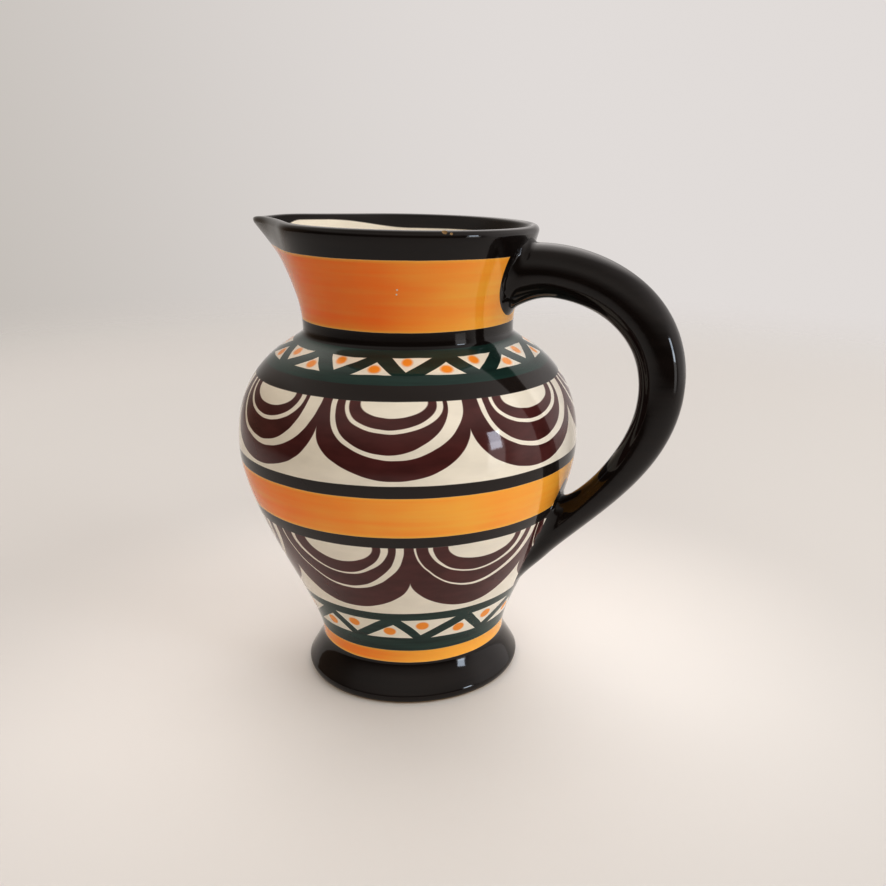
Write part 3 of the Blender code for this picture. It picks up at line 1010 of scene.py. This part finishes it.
def painted_board(colour):
    """Matt painted board, a little cloudy, with a painted pool of light round the jug (painted darker
    farther out), that fades into the pale room far from the jug.
    """
    material = bpy.data.materials.new("matt_painted_board")
    material.use_nodes = True
    tree = material.node_tree
    position = node(tree, "ShaderNodeTexCoord").outputs["Object"]
    sizes = {"Vector": position, "Scale": repeat(CLOUDS), "Detail": 4.0}
    clouds = node(tree, "ShaderNodeTexNoise", sizes)
    away = node(tree, "ShaderNodeVectorMath", {0: position}, operation="LENGTH").outputs["Value"]
    # Painted pool of light: the board's colour is painted darker from a ring round the jug outwards,
    # standing in for light falling off
    start, end = PAINTED_POOL_RING
    painted_falloff = node(tree, "ShaderNodeMapRange", {0: away, 1: start, 2: end}, interpolation_type="SMOOTHSTEP")
    layers = [(clouds, varied(colour, CLOUDS_FACTOR)), (painted_falloff, varied(colour, PAINTED_FALLOFF_FACTOR))]
    look = laid_on(tree, (*colour, 1.0), layers)
    far = node(tree, "ShaderNodeVectorMath", {0: position, 1: FADE_MIDDLE}, operation="DISTANCE")
    start, end = FADE_RING
    links = {0: far.outputs["Value"], 1: start, 2: end, 3: 1.0, 4: 0.0}
    solid = node(tree, "ShaderNodeMapRange", links, interpolation_type="SMOOTHSTEP")
    feed(tree, tree.nodes["Principled BSDF"], {"Base Color": look, "Alpha": solid, "Roughness": 0.8})
    return material


def direction(azimuth, elevation):
    """The unit vector of a direction in degrees."""
    turned, rise = math.radians(azimuth), math.radians(elevation)
    return Vector((math.cos(rise) * math.cos(turned), math.cos(rise) * math.sin(turned), math.sin(rise)))


# The room's sides: how near to their middle each begins and is full, as cosines, and the middle's
# elevation in degrees
DULL_REACH = (-0.75, 0.1)
BROWN_REACH = (0.6, 0.95)
DARK_REACH = (0.0, 0.35)
SIDES_ELEVATION = -15.0

# Heights in the room, as sines of the elevation: where the dark side ends, where the upper part gets
# brighter and where the ceiling gets dimmer, the last two with how much
DARK_TOP = (0.05, 0.5)
UPPER_PART = (0.2, 0.55, 1.35)
CEILING = (0.65, 0.9, 0.75)

# Bright parts of the room, out of the camera's sight: azimuth and elevation in degrees, how near to them
# the light begins and is full, as cosines, and how much it adds
BRIGHT_PARTS = ((114.0, 50.0, 0.74, 1.0, 2.0), (35.0, 0.0, 0.7, 0.95, 0.5))


def facing(tree, way, azimuth, elevation, start, end, most=1.0):
    """How nearly the room's point lies in a direction, from 0 at one cosine to the most at another."""
    aim = direction(azimuth, elevation)
    nearness = node(tree, "ShaderNodeVectorMath", {0: way, 1: aim}, operation="DOT_PRODUCT")
    links = {0: nearness.outputs["Value"], 1: start, 2: end, 3: 0.0, 4: most}
    return node(tree, "ShaderNodeMapRange", links, interpolation_type="SMOOTHSTEP")


def pale_room(stage):
    """A plain room: bright above and behind the jug, dull on its left, dim and warm on the near side."""
    world = bpy.data.worlds.new("room")
    world.use_nodes = True
    tree = world.node_tree
    way = node(tree, "ShaderNodeTexCoord").outputs["Generated"]
    rise = node(tree, "ShaderNodeSeparateXYZ", {0: way}).outputs["Z"]
    start, end = DARK_TOP
    low = node(tree, "ShaderNodeMapRange", {0: rise, 1: start, 2: end, 3: 1.0, 4: 0.0})
    layers = []
    for side, reach, height, colour in (
        (stage.dull_side, DULL_REACH, 1.0, stage.dull_wall),
        (stage.brown_side, BROWN_REACH, 1.0, stage.brown),
        (stage.dark_side, DARK_REACH, low, stage.shade),
    ):
        share = facing(tree, way, math.degrees(side), SIDES_ELEVATION, *reach)
        share = node(tree, "ShaderNodeMath", {0: share, 1: height}, operation="MULTIPLY")
        layers.append((share, (*colour, 1.0)))
    plain = laid_on(tree, (*stage.wall, 1.0), layers[:1])
    light = laid_on(tree, plain, layers[1:])

    start, end, gain = UPPER_PART
    brighter = {0: rise, 1: start, 2: end, 3: stage.room, 4: gain * stage.room}
    strength = node(tree, "ShaderNodeMapRange", brighter)
    start, end, loss = CEILING
    dimmer = node(tree, "ShaderNodeMapRange", {0: rise, 1: start, 2: end, 3: 1.0, 4: loss})
    strength = node(tree, "ShaderNodeMath", {0: strength, 1: dimmer}, operation="MULTIPLY")
    for part in BRIGHT_PARTS:
        strength = node(tree, "ShaderNodeMath", {0: strength, 1: facing(tree, way, *part)}, operation="ADD")

    # Looked at directly, the room is a plain pale backdrop on every side
    seen = node(tree, "ShaderNodeLightPath").outputs["Is Camera Ray"]
    links = {"Factor_Float": seen, "A_Color": light, "B_Color": plain}
    light = node(tree, "ShaderNodeMix", links, data_type="RGBA")
    links = {"Factor_Float": seen, "A_Float": strength, "B_Float": stage.room}
    strength = node(tree, "ShaderNodeMix", links).outputs["Result"]
    feed(tree, tree.nodes["Background"], {"Color": light, "Strength": strength})
    return world


# Lights: name, azimuth and elevation in degrees, distance and size in metres, colour, and whether the glaze
# mirrors them. They all face the middle of the jug
LIGHTS = (
    ("key", -10.0, 9.0, 2.2, (0.34, 0.6), (0.78, 0.88, 1.0), True),
    ("veil", -10.0, -4.0, 2.25, (0.5, 0.9), (1.0, 1.0, 1.0), True),
    ("side", -5.0, 40.0, 2.4, (1.8, 1.6), (1.0, 0.99, 0.97), False),
    ("fill", -74.0, 28.0, 2.4, (2.2, 1.8), (1.0, 0.96, 0.9), False),
    ("glow", -170.0, 10.0, 2.4, (1.4, 1.0), (1.0, 0.72, 0.45), False),
)
LIT_POINT = Vector((0.0, 0.0, 0.11))


def add_light(energy, name, azimuth, elevation, distance, size, colour, mirrored):
    """A rectangular light that faces the jug from a direction in degrees."""
    bpy.ops.object.light_add(type="AREA")
    lamp = bpy.context.object
    lamp.name = name
    lamp.data.shape = "RECTANGLE"
    lamp.data.size, lamp.data.size_y = size
    lamp.data.energy = energy
    lamp.data.color = colour
    way = direction(azimuth, elevation)
    lamp.location = LIT_POINT + way * distance
    lamp.rotation_euler = (-way).to_track_quat("-Z", "Y").to_euler()
    lamp.visible_glossy = mirrored


# The camera: its place in metres, how far it is turned to the left from looking along +Y, tilted up from
# looking straight down and rolled, and how far the picture is shifted, as a share of its width
CAMERA_PLACE = (0.1699, -0.3815, 0.2256)
CAMERA_TURN = math.radians(17.24)
CAMERA_TILT = math.radians(72.6)
CAMERA_ROLL = math.radians(1.1)
CAMERA_SHIFT = (-0.0875, 0.0222)
SENSOR_WIDTH = 36.0
NEAREST_SEEN = 0.01
VIEW_GAMMA = 0.76
VIEW_EXPOSURE = 0.17


class JUG_OT_set_stage(bpy.types.Operator):
    """Lay the pale floor and backdrop, set the lights and place the camera"""

    bl_idname = "jug.set_stage"
    bl_label = "Set Stage"

    def execute(self, context):
        stage = context.scene.jug_stage
        bpy.ops.object.select_all(action="DESELECT")
        bpy.ops.mesh.primitive_circle_add(vertices=96, radius=FLOOR_RADIUS, fill_type="TRIFAN")
        floor = context.object
        floor.name = "stage_floor"
        bpy.ops.object.mode_set(mode="EDIT")
        bpy.ops.mesh.select_mode(type="EDGE")
        bpy.ops.mesh.select_all(action="DESELECT")
        bpy.ops.mesh.select_non_manifold()
        bpy.ops.mesh.extrude_edges_move()
        growth = (FLOOR_GROWTH, FLOOR_GROWTH, 1.0)
        bpy.ops.transform.resize(value=growth, center_override=(0.0, 0.0, 0.0))
        bpy.ops.mesh.select_all(action="SELECT")
        bpy.ops.mesh.normals_make_consistent(inside=False)
        bpy.ops.object.mode_set(mode="OBJECT")
        floor.data.materials.append(painted_board(stage.ground))

        context.scene.world = pale_room(stage)
        for light in LIGHTS:
            add_light(getattr(stage, light[0]), *light)

        bpy.ops.object.camera_add()
        camera = context.object
        camera.name = "camera"
        camera.data.sensor_width = SENSOR_WIDTH
        camera.data.lens = stage.lens
        camera.data.shift_x, camera.data.shift_y = CAMERA_SHIFT
        camera.data.clip_start = NEAREST_SEEN
        turned = Matrix.Rotation(CAMERA_TURN, 4, "Z")
        tilted = Matrix.Rotation(CAMERA_TILT, 4, "X")
        rolled = Matrix.Rotation(CAMERA_ROLL, 4, "Z")
        camera.matrix_world = Matrix.Translation(CAMERA_PLACE) @ turned @ tilted @ rolled
        context.scene.camera = camera
        context.scene.view_settings.view_transform = "Standard"
        context.scene.view_settings.gamma = VIEW_GAMMA
        context.scene.view_settings.exposure = VIEW_EXPOSURE
        return {"FINISHED"}


class JUG_PT_panel(bpy.types.Panel):
    """Lists the steps that make the jug"""

    bl_label = "Ceramic Jug"
    bl_idname = "JUG_PT_panel"
    bl_space_type = "VIEW_3D"
    bl_region_type = "UI"
    bl_category = "Jug"

    def draw(self, context):
        for group in ("jug_body", "jug_handle", "jug_paint", "jug_stage"):
            box = self.layout.box()
            settings = getattr(context.scene, group)
            for name in settings.__annotations__:
                box.prop(settings, name)
        self.layout.operator(JUG_OT_make_jug.bl_idname)
        self.layout.operator(JUG_OT_set_stage.bl_idname)


CLASSES = (JugBody, JugHandle, JugPaint, JugStage, JUG_OT_make_jug, JUG_OT_set_stage, JUG_PT_panel)


def register():
    for entry in CLASSES:
        bpy.utils.register_class(entry)
    bpy.types.Scene.jug_body = PointerProperty(type=JugBody)
    bpy.types.Scene.jug_handle = PointerProperty(type=JugHandle)
    bpy.types.Scene.jug_paint = PointerProperty(type=JugPaint)
    bpy.types.Scene.jug_stage = PointerProperty(type=JugStage)


def unregister():
    for name in ("jug_body", "jug_handle", "jug_paint", "jug_stage"):
        delattr(bpy.types.Scene, name)
    for entry in reversed(CLASSES):
        bpy.utils.unregister_class(entry)


def main():
    register()
    bpy.ops.jug.make_jug()
    bpy.ops.jug.set_stage()


if __name__ == "__main__":
    main()
